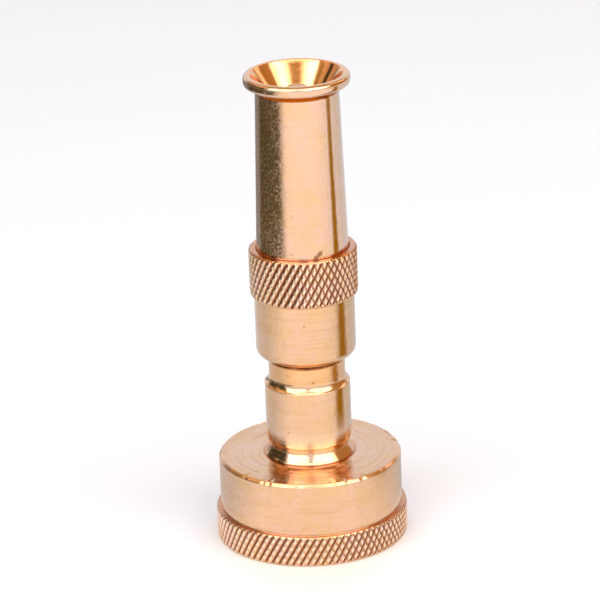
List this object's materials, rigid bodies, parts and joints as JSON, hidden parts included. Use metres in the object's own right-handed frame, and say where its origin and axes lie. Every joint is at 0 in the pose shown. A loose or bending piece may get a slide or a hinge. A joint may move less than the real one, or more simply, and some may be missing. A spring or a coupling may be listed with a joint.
{
  "type": "adjustable twist hose nozzle",
  "caption": "Solid brass twist nozzle: knurled female hose coupling, short stem, knurled barrel and tapered tube with flared mouth; turning the barrel opens it.",
  "frame": {"origin": "centre of the hose coupling's open face, on the plane it stands on", "axes": "+Z along the water's way, from the hose coupling to the flared mouth; the object is turned about Z, so X and Y are free"},
  "size_m": [0.034, 0.034, 0.0851],
  "materials": {
    "satin_brass": "satin turned brass with knurled grips",
    "polished_brass": "polished brass, lightly tarnished",
    "black_rubber": "matte moulded rubber",
    "red_rubber": "matte washer rubber",
    "wiper_plastic": "smooth white plastic"
  },
  "bodies": {
    "base": {"coupling_base": "satin_brass", "hose_washer": "red_rubber", "neck_gasket": "red_rubber", "stem": "satin_brass", "stem_o_ring": "black_rubber", "needle_plug": "polished_brass", "needle_o_ring": "black_rubber"},
    "wiper": {"wiper_ring": "wiper_plastic"},
    "barrel": {"barrel_sleeve": "satin_brass", "tube_o_ring": "black_rubber", "discharge_tube": "polished_brass"}
  },
  "joints": [
    {"name": "barrel_advance", "type": "slide", "parent": "base", "child": "wiper", "axis": [0, 0, 1], "range_m": [0, 0.009]},
    {"name": "barrel_twist", "type": "hinge", "parent": "wiper", "child": "barrel", "pos_m": [0, 0, 0.036], "axis": [0, 0, 1], "range_deg": [0, 1620]}
  ],
  "couplings": [
    {"joint": "barrel_advance", "follows": "barrel_twist", "m_per_rad": 0.00031831}
  ]
}
